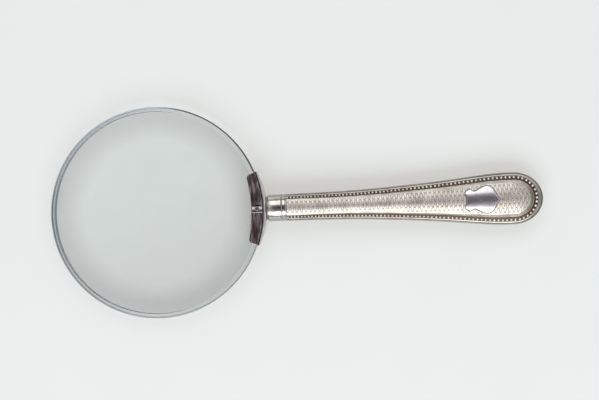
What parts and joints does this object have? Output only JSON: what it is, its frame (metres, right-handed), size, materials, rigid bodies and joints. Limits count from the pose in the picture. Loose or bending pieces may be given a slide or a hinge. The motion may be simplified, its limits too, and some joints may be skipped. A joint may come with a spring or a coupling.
{
  "type": "reading glass",
  "caption": "Round rimless magnifying lens in a riveted clasp on a tapering hollow metal handle with a beaded border and a plain shield plate.",
  "frame": {"origin": "middle of the lens, on its optical axis and half way through the glass", "axes": "+Z along the optical axis, out of the front of the glass and the front of the handle; +X along the handle, away from the lens"},
  "size_m": [0.1776, 0.0762, 0.01],
  "materials": {
    "glass": "polished, clear, ground edge",
    "clasp_metal": "mirror polished, lightly scratched",
    "silver": "polished, with dark tarnish in the hollows",
    "tang_steel": "plain, hidden",
    "pitch": "hidden filling of pitch",
    "fibre": "fibre sleeve",
    "packing": "thin dark packing"
  },
  "bodies": {
    "root": {"lens": "glass", "front_jaw": "clasp_metal", "back_jaw": "clasp_metal", "clasp_saddle": "clasp_metal", "front_strap": "clasp_metal", "back_strap": "clasp_metal", "clasp_rivet": "clasp_metal", "rivet_bush": "fibre", "front_lining": "packing", "back_lining": "packing", "edge_lining": "packing", "tang": "tang_steel", "neck_washer": "silver", "ferrule": "silver", "ferrule_reed_front": "silver", "ferrule_reed_rear": "silver", "handle_front_shell": "silver", "handle_back_shell": "silver", "handle_filling": "pitch", "front_shield": "silver", "back_shield": "silver"}
  },
  "joints": []
}
